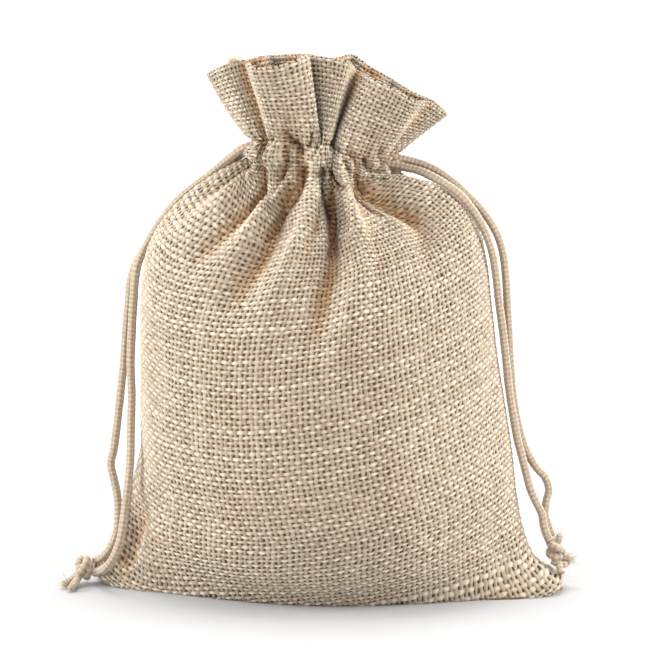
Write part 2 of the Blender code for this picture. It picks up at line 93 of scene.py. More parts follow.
# %% One row for each level of the stuffed body
BODY_COLUMNS = (
    "row", "left_x", "left_z", "right_x", "right_z", "seam_y", "front_y", "front_z", "back_y",
    "back_z", "lens", "turn", "lead",
)
BODY = (
    (0, -65.9, 0.0, 65.0, 0.0, -4.4, -2.0, -1.0, 2.0, -1.0, 1.0, -4.6, 0),
    (4, -65.9, 3.6, 65.0, 3.4, -4.4, -8.4, -11.5, 8.4, -11.5, 0.3, -4.6, 0),
    (8, -65.2, 7.3, 63.0, 4.8, -4.4, -12.0, -11.5, 12.4, -11.5, 0.35, -4.6, 0),
    (16, -61.0, 13.0, 57.0, 9.2, -4.2, -16.2, -6.4, 19.5, -6.4, 0.7, -4.6, 1),
    (24, -58.0, 20.2, 53.8, 16.8, -3.4, -22.8, 1.8, 28.0, 1.8, 1.0, -4.6, 1),
    (34, -55.2, 29.8, 51.8, 26.6, -2.4, -29.4, 9.2, 33.4, 9.2, 1.05, -4.6, 1),
    (46, -52.8, 41.5, 50.4, 38.5, -2.0, -33.6, 20.5, 37.0, 20.5, 1.05, -4.6, 2),
    (60, -52.8, 55.5, 48.2, 52.5, -2.0, -35.0, 34.3, 38.2, 34.3, 1.05, -4.6, 2),
    (74, -52.6, 69.5, 46.0, 66.3, -1.9, -34.8, 48.3, 38.0, 48.3, 1.05, -4.4, 3),
    (88, -52.2, 83.3, 44.2, 80.2, -1.7, -33.2, 62.2, 36.4, 62.2, 1.05, -4.0, 4),
    (101, -50.0, 95.6, 42.6, 93.0, -1.5, -30.6, 74.9, 33.4, 75.2, 1.0, -3.4, 5),
    (112, -44.8, 104.6, 39.8, 103.6, -1.1, -27.1, 85.4, 29.4, 86.0, 1.0, -2.6, 6),
    (121, -37.8, 111.2, 35.8, 110.0, -0.8, -23.6, 93.6, 24.8, 94.6, 1.0, -1.8, 6),
    (129, -31.2, 116.0, 29.6, 113.8, -0.5, -20.0, 100.7, 20.4, 102.0, 1.0, -1.2, 6),
    (136, -26.2, 119.0, 23.4, 115.2, -0.3, -17.0, 107.0, 17.0, 108.6, 1.0, -0.6, 6),
    (142, -23.0, 120.2, 19.4, 115.4, 0.0, -14.8, 112.6, 14.6, 113.8, 1.0, 0, 6),
    (147, -21.0, 120.4, 17.6, 115.0, 0.0, -13.6, 117.4, 13.4, 117.6, 1.0, 0, 6),
)
print(len(BODY), "levels")

# %% One row for each long fold and each short crease
# A fold: row and line of its foot, row and line of its knee, line at the stitches, depth, width.
# A crease: row and line of its low end, row and line of its high end, depth, width.
FOLDS = (
    ("left shoulder valley", 110, 2, 139, 4, 24, -2.0, 4.5),
    ("left shoulder ridge", 106, 8, 138, 14, 28, 2.4, 6.0),
    ("valley left of the diagonal ridge", 108, 17, 136, 27, 40, -3.0, 4.0),
    ("diagonal ridge", 102, 25, 134, 31, 46, 2.8, 5.0),
    ("valley under the diagonal ridge", 102, 34, 132, 40, 50, -4.0, 4.5),
    ("middle ridge", 96, 43, 133, 50, 56, 2.8, 5.5),
    ("middle valley", 94, 60, 131, 64, 76, -5.0, 5.0),
    ("ridge right of the middle", 94, 70, 133, 78, 97, 3.2, 5.5),
    ("hollow under the cord's mouth", 108, 92, 137, 105, 108, -4.0, 7.0),
    ("right shoulder ridge", 104, 112, 130, 115, 117, 2.0, 6.0),
    ("right shoulder valley", 106, 122, 130, 125, 126, -2.2, 5.0),
    ("back right ridge", 96, 150, 130, 154, 156, 2.4, 6.0),
    ("back right valley", 98, 163, 130, 165, 166, -3.2, 5.5),
    ("back ridge one", 92, 176, 130, 177, 177, 2.6, 6.0),
    ("back middle valley", 92, 188, 130, 187, 187, -3.8, 5.5),
    ("back ridge two", 92, 200, 130, 198, 197, 2.8, 6.0),
    ("back left valley", 96, 213, 130, 209, 208, -3.4, 5.5),
    ("back left ridge", 98, 226, 130, 222, 220, 2.4, 6.0),
    ("left seam valley", 104, 246, 130, 245, 244, -2.2, 6.0),
)
CREASES = (
    ("left lower corner, crease", 7, 4, 38, 13, -3.0, 4.0),
    ("left lower corner, roll", 10, 12, 40, 22, 1.0, 5.0),
    ("right lower corner, crease", 14, 120, 40, 114, -1.2, 5.0),
    ("dent in the left face", 58, 10, 92, 16, -1.2, 7.0),
    ("dent in the right face", 40, 112, 84, 118, -1.0, 8.0),
    ("top of the middle valley", 130, 64, 153, 82, -4.0, 5.0),
    ("top of the hollow", 128, 100, 153, 108, -2.0, 6.0),
    ("back, left dent", 40, 236, 86, 228, -1.4, 8.0),
    ("back, right dent", 44, 150, 88, 158, -1.4, 8.0),
)
print(len(FOLDS), "folds and", len(CREASES), "creases")

# %% One row for each ridge or valley of the drawn neck and the frill
NECK_COLUMNS = (
    "name", "cloth", "neck_x", "neck_y", "upper_z", "rim_x", "rim_y", "rim_z", "flare",
)
NECK = (
    ("left tip", 16, -20.8, -0.5, 124.8, -33.0, 2.0, 142.8, 0.7),
    ("left flap", 24, -19.6, -5.8, 125.2, -28.2, -3.6, 145.4, 0.85),
    ("left flap valley", 32, -16.6, -5.0, 125.6, -23.4, -3.4, 146.6, 1.0),
    ("left panel, first edge", 40, -15.6, -10.8, 126.0, -21.0, -11.4, 145.2, 1.1),
    ("left panel, gather", 48, -9.6, -9.6, 125.0, -13.4, -13.2, 146.0, 1.2),
    ("left panel, right edge", 56, -3.2, -13.4, 124.4, -6.0, -8.6, 148.4, 1.2),
    ("valley behind the left panel", 65, -3.4, -5.2, 124.4, -8.0, 2.6, 147.6, 1.2),
    ("middle panel, left side", 73, -1.8, -11.6, 125.2, -1.6, -4.0, 147.6, 1.2),
    ("middle panel, right edge", 81, -0.2, -12.8, 125.0, 4.9, -7.4, 146.6, 1.2),
    ("hollow", 90, 0.8, -5.0, 124.2, 7.4, 2.6, 143.4, 1.2),
    ("right panel, left edge", 99, 1.8, -12.6, 123.4, 10.6, -7.0, 142.6, 1.3),
    ("right panel, gather", 108, 8.4, -9.6, 120.8, 16.8, -11.4, 139.6, 1.1),
    ("right panel, far edge", 117, 14.4, -9.2, 120.0, 22.8, -9.8, 136.2, 1.0),
    ("right panel valley", 126, 13.0, -3.6, 119.8, 26.6, -3.2, 135.2, 1.0),
    ("right tip", 137, 18.2, 0.6, 121.2, 31.7, 0.2, 131.6, 1.0),
    ("back right flap", 147, 15.8, 6.0, 121.0, 28.0, 5.6, 134.8, 1.0),
    ("back right valley", 156, 11.0, 5.6, 121.6, 22.0, 7.0, 137.4, 1.0),
    ("back ridge one", 166, 11.0, 11.0, 122.4, 17.6, 14.0, 139.4, 1.0),
    ("back valley two", 176, 6.4, 7.2, 123.4, 12.0, 9.4, 143.0, 1.1),
    ("back ridge two", 186, 4.6, 13.0, 124.2, 6.4, 15.4, 146.4, 1.1),
    ("back valley three", 196, 0.8, 7.6, 125.0, 0.6, 10.0, 146.0, 1.1),
    ("back ridge three", 206, -3.0, 13.2, 125.4, -5.4, 15.4, 146.4, 1.1),
    ("back valley four", 216, -6.0, 7.4, 125.8, -10.6, 10.0, 147.0, 1.1),
    ("back ridge four", 226, -10.4, 11.6, 126.0, -16.2, 14.8, 146.2, 1.0),
    ("back valley five", 236, -11.4, 6.2, 126.2, -20.4, 8.4, 146.2, 1.0),
    ("back left ridge", 246, -16.4, 8.2, 126.4, -25.6, 11.4, 144.6, 0.9),
    ("left seam", 257, -17.4, 3.4, 126.6, -28.6, 4.6, 144.2, 0.8),
)
print(len(NECK), "ridges and valleys round the neck")


# %% Smooth curves through the tables' values
def column(table, columns, name):
    return np.array([row[columns.index(name)] for row in table], float)


def curve_through(knots, values, wanted, overshoot):
    step = np.diff(knots)
    rise = np.diff(values) / step
    slope = np.empty(len(knots))
    slope[1:-1] = (rise[:-1] * step[1:] + rise[1:] * step[:-1]) / (step[1:] + step[:-1])
    slope[0], slope[-1] = rise[0], rise[-1]
    if not overshoot:
        limit = 3 * np.minimum(np.abs(rise[:-1]), np.abs(rise[1:]))
        turns = rise[:-1] * rise[1:] <= 0
        slope[1:-1] = np.where(turns, 0, np.clip(slope[1:-1], -limit, limit))
    i = np.clip(np.searchsorted(knots, wanted, side="right") - 1, 0, len(step) - 1)
    t = (wanted - knots[i]) / step[i]
    return (
        values[i] * (1 + 2 * t) * (1 - t) ** 2
        + slope[i] * step[i] * t * (1 - t) ** 2
        + values[i + 1] * t**2 * (3 - 2 * t)
        - slope[i + 1] * step[i] * t**2 * (1 - t)
    )


def closed_curve(knots, values, wanted):
    knots = np.concatenate([knots[-2:] - CLOTH_ROUND, knots, knots[:2] + CLOTH_ROUND])
    values = np.concatenate([values[-2:], values, values[:2]])
    first = knots[2]
    return curve_through(knots, values, (wanted - first) % CLOTH_ROUND + first, True)


def ease(value):
    value = np.clip(value, 0, 1)
    return value * value * (3 - 2 * value)


# %% A ring of the body, and how far folds push it out
def even_angles(half_width, half_depth, shares):
    angle = np.linspace(0, 2 * math.pi, 721)
    leg = np.hypot(np.diff(half_width * np.cos(angle)), np.diff(half_depth * np.sin(angle)))
    length = np.append(0, np.cumsum(leg))
    return np.interp(shares % 1, length / length[-1], angle)


def body_ring(level, cloth):
    half_width = (level["right_x"] - level["left_x"]) / 2
    half_depth = (level["back_y"] - level["front_y"]) / 2
    angle = even_angles(half_width, half_depth, (cloth + level["lead"]) / CLOTH_ROUND)
    along = (1 - np.cos(angle)) / 2
    bulge = np.abs(np.sin(angle))
    front = np.sin(angle) > 0
    x = level["left_x"] + along * 2 * half_width
    y = np.where(front, level["front_y"], level["back_y"]) * bulge ** level["lens"]
    side_z = level["left_z"] + along * (level["right_z"] - level["left_z"])
    face_z = np.where(front, level["front_z"], level["back_z"])
    z = side_z + (face_z - side_z) * bulge**1.3
    turn = math.radians(level["turn"])
    turned_x = x * math.cos(turn) - y * math.sin(turn)
    turned_y = x * math.sin(turn) + y * math.cos(turn) + level["seam_y"]
    return np.stack([turned_x, turned_y, np.maximum(z, 0)], axis=-1)


def outward(grid):
    round_it = np.roll(grid, -1, axis=1) - np.roll(grid, 1, axis=1)
    normal = np.cross(round_it, np.gradient(grid, axis=0))
    return normal / np.maximum(np.linalg.norm(normal, axis=2, keepdims=True), 1e-9)


def ripple(cloth, line, width):
    away = (cloth - line + CLOTH_ROUND / 2) % CLOTH_ROUND - CLOTH_ROUND / 2
    return np.exp(-((away / width) ** 2))


def fold_push(cloth, row):
    push = np.zeros(len(cloth))
    for name, foot_row, foot, knee_row, knee, neck, depth, width in FOLDS:
        grown = ease((row - foot_row) / (knee_row - foot_row))
        route = np.array([foot_row, knee_row, LOWER_STITCH], float)
        line = curve_through(route, np.array([foot, knee, neck], float), np.array([row]), False)
        push += depth * math.sqrt(grown) * ripple(cloth, line, width * (1 - 0.4 * grown))
    for name, low_row, low, high_row, high, depth, width in CREASES:
        along = np.clip((row - low_row) / (high_row - low_row), 0, 1)
        line = low + (high - low) * along
        push += depth * math.sin(math.pi * along) * ripple(cloth, line, width)
    return push


# %% The whole cloth as rows of points
def neck_ring(cloth, *names):
    knots = column(NECK, NECK_COLUMNS, "cloth")
    return np.stack(
        [closed_curve(knots, column(NECK, NECK_COLUMNS, name), cloth) for name in names], axis=-1
    )


def body_level(row):
    rows = column(BODY, BODY_COLUMNS, "row")
    wanted = np.array([min(row, LOWER_STITCH)])
    return {
        name: float(curve_through(rows, column(BODY, BODY_COLUMNS, name), wanted, False)[0])
        for name in BODY_COLUMNS[1:]
    }


def sack_surface(cloth, rows):
    levels = [body_level(row) for row in rows]
    grid = np.array([body_ring(level, cloth) for level in levels])
    normal = outward(grid)
    stitched = body_ring(body_level(LOWER_STITCH), cloth)
    lower = np.concatenate([neck_ring(cloth, "neck_x", "neck_y"), stitched[:, 2:]], axis=1)
    upper = neck_ring(cloth, "neck_x", "neck_y", "upper_z")
    rim = neck_ring(cloth, "rim_x", "rim_y", "rim_z")
    flare = neck_ring(cloth, "flare")
    for i, row in enumerate(rows):
        if row < LOWER_STITCH:
            fade = 1 - ease((row - FOLD_FADE) / (LOWER_STITCH - FOLD_FADE))
            gather = ease((row - GATHER_START) / (LOWER_STITCH - GATHER_START)) ** 1.5
            grid[i] += normal[i] * (fold_push(cloth, row) * fade)[:, None]
            grid[i] += (lower - stitched) * gather
        elif row <= UPPER_STITCH:
            up = (row - LOWER_STITCH) / (UPPER_STITCH - LOWER_STITCH)
            swell = 1 + CASING_PUFF * math.sin(math.pi * up)
            grid[i] = (lower + (upper - lower) * up) * (swell, swell, 1)
        else:
            up = (row - UPPER_STITCH) / (CLOTH_HIGH - UPPER_STITCH)
            grid[i] = upper + (rim - upper) * up ** np.concatenate(
                [flare, flare, np.ones_like(flare)], axis=1
            )
    grid[:, :, 2] = np.maximum(grid[:, :, 2], 0)
    return grid - (*BOX_MIDDLE, 0)


# %% [markdown]
# Threads and loose fibres all have to lie on this surface. Working it out once on a fine lattice
# and reading between its points is quicker than starting again for each thread.

# %% Work the cloth out on a fine lattice
LATTICE = 0.5
LINES = np.arange(0, CLOTH_ROUND, LATTICE)
ROWS = np.arange(0, CLOTH_HIGH + LATTICE / 2, LATTICE)
surface = sack_surface(LINES, ROWS)
print("lattice of", surface.shape[:2], "points, the lowest at", surface[..., 2].min(), "mm")

# %% [markdown]
# ## Crumples at the drawn neck
# Close to the two stitched lines the cloth breaks up into rolls, pinches and dark little slits. A
# sculptor would push them in and out stroke by stroke, and so do we. The push goes along the
# outward side of a blurred copy of the cloth, which keeps the two walls of a deep pleat apart.

# %% One row for each stroke: how far it pushes, how wide it is, and its way as (row, thread line)
STROKES = (
    ("ridge A", 1.5, 1.9, ((153, 54.5), (145, 54), (139, 53.5), (133.5, 52), (126, 46.5))),
    ("valley one", -2.8, 1.8, ((148, 77.5), (144.5, 79), (138, 72), (132, 66), (126, 61))),
    ("edge of valley one", -1.2, 0.8, ((146, 57.5), (141, 57.5), (136, 57), (131, 55))),
    ("ridge B", 1.6, 1.9, ((147.5, 101.5), (141.5, 101), (137, 82.5), (133.5, 77), (128, 72))),
    ("valley two", -2.6, 1.4, (
        (148, 51), (143.5, 50.5), (140, 48.5), (136.5, 44), (132, 38.5), (127, 35),
    )),
    ("ridge C", 1.6, 1.6, (
        (147, 48), (143.5, 46.5), (140.5, 42.5), (136.5, 36.5), (130.5, 30.5), (125, 27.5),
    )),
    ("valley three", -2.2, 1.3, ((150, 45), (146, 43.5), (141.5, 40.5), (138, 33), (134, 26))),
    ("ridge D", 1.3, 2.2, ((151, 38), (147, 28), (141, 20.5), (133.5, 15), (128, 12.5))),
    ("under the mouth", 0.9, 2.4, ((141, 106), (138, 107), (134, 108), (129, 109))),
    ("edge of the hollow", -2.0, 2.6, ((140, 95), (136, 97), (132, 99.5), (128, 102))),
    ("left panel, lower edge", -2.6, 0.8, (
        (159.5, 44.5), (158, 46.5), (156.5, 48.5), (154, 49.5), (149.5, 49.5), (146, 49.5),
    )),
    ("left panel, foot", -2.6, 0.8, (
        (156.5, 48.5), (154.2, 51), (155.5, 52.5), (157.5, 53.5), (160, 54.5),
    )),
    ("under the left panel", -1.8, 0.7, (
        (154.5, 50.5), (149.5, 51.5), (145.5, 51), (142, 51), (139, 49),
    )),
    ("right of ridge A", -1.8, 0.8, ((158, 56), (155, 57.5), (149, 57.5), (145, 58))),
    ("inside ridge A", -1.5, 0.6, ((155, 54.8), (151.5, 53.2), (148.5, 52.2))),
    ("middle panel, slit", -1.8, 0.8, ((163, 92), (159, 87), (155, 82), (150, 80.5), (147, 82))),
    ("right panel, pucker one", -2.0, 0.7, ((157, 98.5), (154, 101), (152, 102.5), (149.5, 103.5))),
    ("right panel, pucker two", -2.4, 0.9, ((156.5, 104), (152, 106), (145.5, 106), (142, 107.5))),
    ("mouth of the casing", -2.8, 0.9, (
        (155.5, 109.5), (152, 110), (150.4, 111.5), (151.6, 113.8), (154, 115.5),
    )),
    ("above the mouth", -1.6, 0.7, ((160.5, 113), (158, 114.5), (155.5, 116.5))),
    ("left pucker one", -2.0, 0.8, ((154.5, 45), (150.5, 45.5), (147.5, 44.5), (145, 43))),
    ("left pucker two", -2.0, 0.8, ((157, 39.5), (154, 37), (151, 33.5))),
    ("left pucker three", -1.6, 0.9, ((155, 24), (150, 22), (146, 20), (141, 17))),
    ("tongue", 1.2, 1.2, ((155, 75), (151, 75), (146.5, 74.5))),
    ("roll over the mouth", 1.2, 1.6, ((153.5, 112.5), (156, 112))),
    ("roll under the mouth", 1.2, 1.4, ((148, 108), (147.4, 112.5), (149, 117), (150, 121))),
    ("round the left cords", 1.6, 2.4, ((151, 15), (151, 7), (150.5, 0), (150, -4))),
    ("round the right cords", 1.4, 2.2, ((151, 127), (151.5, 134), (151.5, 142))),
)
print(len(STROKES), "strokes")


# %% Blur the cloth, and measure how far each of its points is from a stroke
def blurred(grid, reach_round, reach_up):
    """The grid softened over the given reaches in mm, going round it and up it."""
    spare = int(4 * reach_up / LATTICE)
    padded = np.concatenate([np.repeat(grid[:1], spare, 0), grid, np.repeat(grid[-1:], spare, 0)])
    waves = np.fft.fft2(padded, axes=(0, 1))
    up = np.fft.fftfreq(padded.shape[0]) * 2 * math.pi * reach_up / LATTICE
    across = np.fft.fftfreq(padded.shape[1]) * 2 * math.pi * reach_round / LATTICE
    waves *= np.exp(-0.5 * (up[:, None] ** 2 + across[None, :] ** 2))[..., None]
    return np.fft.ifft2(waves, axes=(0, 1)).real[spare : spare + len(grid)]


def away_from(points, corners):
    """Distance from each point to the line through the corners."""
    nearest = np.full(points.shape[:-1], np.inf)
    for start, end in zip(corners[:-1], corners[1:]):
        leg = end - start
        share = np.clip((points - start) @ leg / max(leg @ leg, 1e-9), 0, 1)
        gap = np.linalg.norm(points - (start + share[..., None] * leg), axis=-1)
        nearest = np.minimum(nearest, gap)
    return nearest


# %% Push the strokes, the small gathers and the puffed casing
ROWS_NEAR, LINES_NEAR = 12, 14
GATHER_WAVES = ((50, 0.36, 0.4), (70, 0.36, 2.1), (33, 0.18, 5.0))
CASING_ROUND = 0.7
straight_out = outward(blurred(surface, 7.0, 4.0))
up_rows, round_lines = ROWS[:, None], LINES[None, :]
push = np.zeros(surface.shape[:2])
for name, depth, width, way in STROKES:
    marks = np.rint(np.array(way) / LATTICE).astype(int)
    low = max(marks[:, 0].min() - ROWS_NEAR, 0)
    high = min(marks[:, 0].max() + ROWS_NEAR + 1, len(ROWS))
    near = np.arange(marks[:, 1].min() - LINES_NEAR, marks[:, 1].max() + LINES_NEAR + 1) % len(LINES)
    gap = away_from(surface[low:high][:, near], surface[marks[:, 0], marks[:, 1] % len(LINES)])
    push[low:high, near] += depth * np.exp(-((gap / width) ** 2))
creep = 1.3 * np.sin(up_rows / 5.1) + 0.8 * np.sin(up_rows / 2.7 + 1)
gathers = sum(
    size * np.sin(2 * math.pi * (round_lines + creep) * count / CLOTH_ROUND + start)
    for count, size, start in GATHER_WAVES
)
below = np.exp(-(((up_rows - LOWER_STITCH) / 7) ** 2)) * (up_rows < LOWER_STITCH)
above = np.exp(-(((up_rows - UPPER_STITCH) / 6) ** 2)) * (up_rows > UPPER_STITCH)
inside_it = (up_rows >= LOWER_STITCH) & (up_rows <= UPPER_STITCH)
push += gathers * (below + above + inside_it)
half_way = np.clip((up_rows - LOWER_STITCH) / (UPPER_STITCH - LOWER_STITCH), 0, 1)
push += CASING_ROUND * np.sin(math.pi * half_way) ** 0.7
for stitched in (LOWER_STITCH, UPPER_STITCH):
    push -= CASING_ROUND * np.exp(-(((up_rows - stitched) / 1.2) ** 2))
surface = surface + straight_out * push[..., None]
surface[..., 2] = np.maximum(surface[..., 2], 0)
normals = outward(surface)
print("pushed between", round(float(push.min()), 1), "and", round(float(push.max()), 1), "mm")

# %% [markdown]
# Deep in a pleat the cloth is browner, because the light there has bounced from jute to jute. A
# number for how hollow each place is lets the material follow that.


# %% Measure the hollows, and read any point of the cloth
def hollowness(reach, full):
    sunk = ((blurred(surface, reach, reach) - surface) * straight_out).sum(axis=2)
    return np.clip(sunk / full, 0, 1)


hollow = np.maximum(hollowness(2.0, 0.9), hollowness(5.0, 2.0))
print("hollow places:", round(float((hollow > 0.5).mean() * 100)), "% of the cloth")


def read(grid, cloth, row):
    """A lattice's values between its points."""
    across = (np.asarray(cloth, float) % CLOTH_ROUND) / LATTICE
    up = np.clip(np.asarray(row, float) / LATTICE, 0, len(ROWS) - 1.001)
    i, j = np.floor(up).astype(int), np.floor(across).astype(int) % len(LINES)
    s, t = up - i, across - np.floor(across)
    if grid.ndim == 3:
        s, t = s[..., None], t[..., None]
    k = (j + 1) % len(LINES)
    low = grid[i, j] * (1 - t) + grid[i, k] * t
    high = grid[i + 1, j] * (1 - t) + grid[i + 1, k] * t
    return low * (1 - s) + high * s


upward = np.gradient(surface, axis=0)
upward /= np.maximum(np.linalg.norm(upward, axis=2, keepdims=True), 1e-9)


def on_cloth(cloth, row, lift=0.0):
    """Points in mm, raised along the cloth's outward side. Past the rim they go straight on."""
    beyond = np.maximum(np.asarray(row, float) - CLOTH_HIGH, 0)[..., None]
    raised = read(normals, cloth, row) * np.asarray(lift, float)[..., None]
    return read(surface, cloth, row) + raised + read(upward, cloth, row) * beyond


# %% [markdown]
# The weave of a full sack is pulled a little out of square. Here the rows of weft sink towards
# the left seam, and the warp threads lean to the right as they go down. At the bottom fold and
# from the lower stitch upwards the rows lie straight again.

# %% Pull the weave out of square
SINK_COLUMNS = ("cloth", "shift")
SINK = ((0, -10.0), (30, 0.0), (55, 6.5), (95, 8.5), (130, 3.0), (195, -2.0))
LEAN_COLUMNS = ("row", "shift")
LEAN = ((0, 12.0), (20, 10.0), (115, 0.0), (182, 0.0))
SUNK_OVER = 14
LEVEL_OVER = 37


def woven(cloth, row, lift):
    """Like on_cloth, with both counted along the threads. It also gives where they come to lie."""
    part = np.clip(np.minimum(row / SUNK_OVER, (LOWER_STITCH - row) / LEVEL_OVER), 0, 1)
    marks, shifts = (column(SINK, SINK_COLUMNS, name) for name in SINK_COLUMNS)
    sink = closed_curve(marks, shifts, cloth)
    lean = np.interp(row, *(column(LEAN, LEAN_COLUMNS, name) for name in LEAN_COLUMNS))
    cloth, row = cloth + lean, row + part * sink
    return on_cloth(cloth, row, lift), cloth, row


print("the weave sinks and leans by up to", SINK[0][1], "and", LEAN[0][1], "mm")


# %% [markdown]
# ## Making meshes from grids
# A sheet, a thread and a cord can each be made as a flat grid that has been bent. So one helper
# makes a grid, deletes the columns of faces that fall between threads, and then moves every
# vertex to its place.


# %% Bend a grid into shape
def bent_grid(name, points, strip=0, values=None, uv=None):
    """A mesh object from points[row, column]. strip keeps only runs of that many columns."""
    rows, columns = points.shape[:2]
    bm = bmesh.new()
    bmesh.ops.create_grid(bm, x_segments=columns - 1, y_segments=rows - 1, size=1)
    if strip:
        gaps = [
            face
            for face in bm.faces
            if round((min(v.co.x for v in face.verts) + 1) / 2 * (columns - 1)) % strip == strip - 1
        ]
        bmesh.ops.delete(bm, geom=gaps, context="FACES_ONLY")
    mesh = bpy.data.meshes.new(name)
    bm.to_mesh(mesh)
    bm.free()
    flat = np.empty(len(mesh.vertices) * 3, np.float32)
    mesh.vertices.foreach_get("co", flat)
    flat = flat.reshape(-1, 3)
    j = np.rint((flat[:, 0] + 1) / 2 * (columns - 1)).astype(int)
    i = np.rint((flat[:, 1] + 1) / 2 * (rows - 1)).astype(int)
    mesh.vertices.foreach_set("co", (points[i, j] * MM).astype(np.float32).ravel())
    for key, value in (values or {}).items():
        layer = mesh.attributes.new(key, "FLOAT", "POINT")
        layer.data.foreach_set("value", value[i, j].astype(np.float32))
    if uv is not None:
        corner = np.empty(len(mesh.loops), np.int32)
        mesh.loops.foreach_get("vertex_index", corner)
        layer = mesh.uv_layers.new(name="thread")
        layer.data.foreach_set("uv", uv[i[corner], j[corner]].astype(np.float32).ravel())
    mesh.polygons.foreach_set("use_smooth", np.ones(len(mesh.polygons), bool))
    mesh.update()
    return in_the_scene(name, mesh)


# %% [markdown]
# ## Jute and its colours
# Jute is a dull, dry fibre. Each thread has its own tone, from cream to tan, and the tone wanders
# along it. The tone also holds painted light and shade: it is raised where a thread passes over and
# lowered where it passes under and along its edges, and the weft's colours are lighter than the
# warp's as painted light from above. It comes in as an attribute on the mesh, so the colour follows
# the thread. A fine noise, stretched along the thread, gives the fibres.


# %% Patches of colour, and the warm shade of the hollows
HOLLOW_BROWN = (0.96, 0.74, 0.54)
PATCH_PINK = (1.0, 0.97, 0.965)
PATCH_GREEN = (0.97, 0.98, 0.945)


def set_inputs(node, **values):
    """Gives the node's inputs their values. An underscore in a name stands for a space."""
    for name, value in values.items():
        node.inputs[name.replace("_", " ")].default_value = value
    return node


def multiplied(nodes, links, first):
    """A node that multiplies two colours, the first of them linked."""
    mix = nodes.new("ShaderNodeMix")
    mix.data_type, mix.blend_type = "RGBA", "MULTIPLY"
    links.new(first, mix.inputs[6])
    return mix


def in_the_hollows(nodes, links, colour):
    """The colour with slow pink and green patches, browner where the attribute says hollow."""
    place = nodes.new("ShaderNodeTexCoord")
    patches = set_inputs(nodes.new("ShaderNodeTexNoise"), Scale=140.0)
    links.new(place.outputs["Object"], patches.inputs["Vector"])
    tint = nodes.new("ShaderNodeValToRGB")
    pink, green = tint.color_ramp.elements
    pink.position, green.position = 0.35, 0.65
    pink.color, green.color = (*PATCH_PINK, 1), (*PATCH_GREEN, 1)
    links.new(patches.outputs["Fac"], tint.inputs["Fac"])
    patched = set_inputs(multiplied(nodes, links, colour), Factor=1.0)
    links.new(tint.outputs["Color"], patched.inputs[7])
    hollow_here = nodes.new("ShaderNodeAttribute")
    hollow_here.attribute_name = "hollow"
    browned = multiplied(nodes, links, patched.outputs[2])
    browned.inputs[7].default_value = (*HOLLOW_BROWN, 1)
    links.new(hollow_here.outputs["Fac"], browned.inputs["Factor"])
    return browned.outputs[2]


print("hollows are tinted", HOLLOW_BROWN)


# %% Materials for threads
def new_material(name):
    """A material with its nodes, its links and its shader."""
    material = bpy.data.materials.new(name)
    material.use_nodes = True
    nodes = material.node_tree.nodes
    return material, nodes, material.node_tree.links, nodes["Principled BSDF"]


def jute(name, dark, middle, light, fibre=14.0):
    """Dull fibre whose colour runs from dark to light with the attribute tone."""
    material, nodes, links, shader = new_material(name)
    set_inputs(shader, Roughness=0.92, Specular_IOR_Level=0.18)
    set_inputs(shader, Sheen_Weight=0.15, Sheen_Roughness=0.6)
    tone = nodes.new("ShaderNodeAttribute")
    tone.attribute_name = "tone"
    place = nodes.new("ShaderNodeUVMap")
    place.uv_map = "thread"
    stretch = set_inputs(nodes.new("ShaderNodeMapping"), Scale=(0.35, 3.0, 1.0))
    links.new(place.outputs["UV"], stretch.inputs["Vector"])
    fibres = set_inputs(nodes.new("ShaderNodeTexNoise"), Scale=fibre, Detail=3.0)
    links.new(stretch.outputs["Vector"], fibres.inputs["Vector"])
    spread = nodes.new("ShaderNodeMapRange")
    set_inputs(spread, From_Min=0.3, From_Max=0.7, To_Min=-0.22, To_Max=0.22)
    links.new(fibres.outputs["Fac"], spread.inputs["Value"])
    added = nodes.new("ShaderNodeMath")
    added.operation = "ADD"
    links.new(tone.outputs["Fac"], added.inputs[0])
    links.new(spread.outputs["Result"], added.inputs[1])
    ramp = nodes.new("ShaderNodeValToRGB")
    ramp.color_ramp.elements[0].color = (*dark, 1)
    ramp.color_ramp.elements[1].color = (*light, 1)
    ramp.color_ramp.elements.new(0.5).color = (*middle, 1)
    links.new(added.outputs["Value"], ramp.inputs["Fac"])
    links.new(in_the_hollows(nodes, links, ramp.outputs["Color"]), shader.inputs["Base Color"])
    relief = set_inputs(nodes.new("ShaderNodeBump"), Strength=0.25, Distance=0.0002)
    links.new(fibres.outputs["Fac"], relief.inputs["Height"])
    links.new(relief.outputs["Normal"], shader.inputs["Normal"])
    return material


# The weft's colours are lighter than the warp's: painted light, as the wefts face the light from
# above.
weft_jute = jute("jute, weft", (0.20, 0.145, 0.09), (0.43, 0.35, 0.255), (0.78, 0.70, 0.57))
warp_jute = jute("jute, warp", (0.17, 0.125, 0.082), (0.34, 0.275, 0.205), (0.56, 0.485, 0.39))
cord_jute = jute("cord fibre", (0.18, 0.12, 0.078), (0.385, 0.305, 0.23), (0.635, 0.565, 0.46), 9.0)
print("materials:", weft_jute.name, warp_jute.name, cord_jute.name)

# %% [markdown]
# ## The cords
# Each side has one cord, which comes out of the casing as two strands and ends in a knot. The
# cords come before the threads, since they decide how much room the whole thing takes.

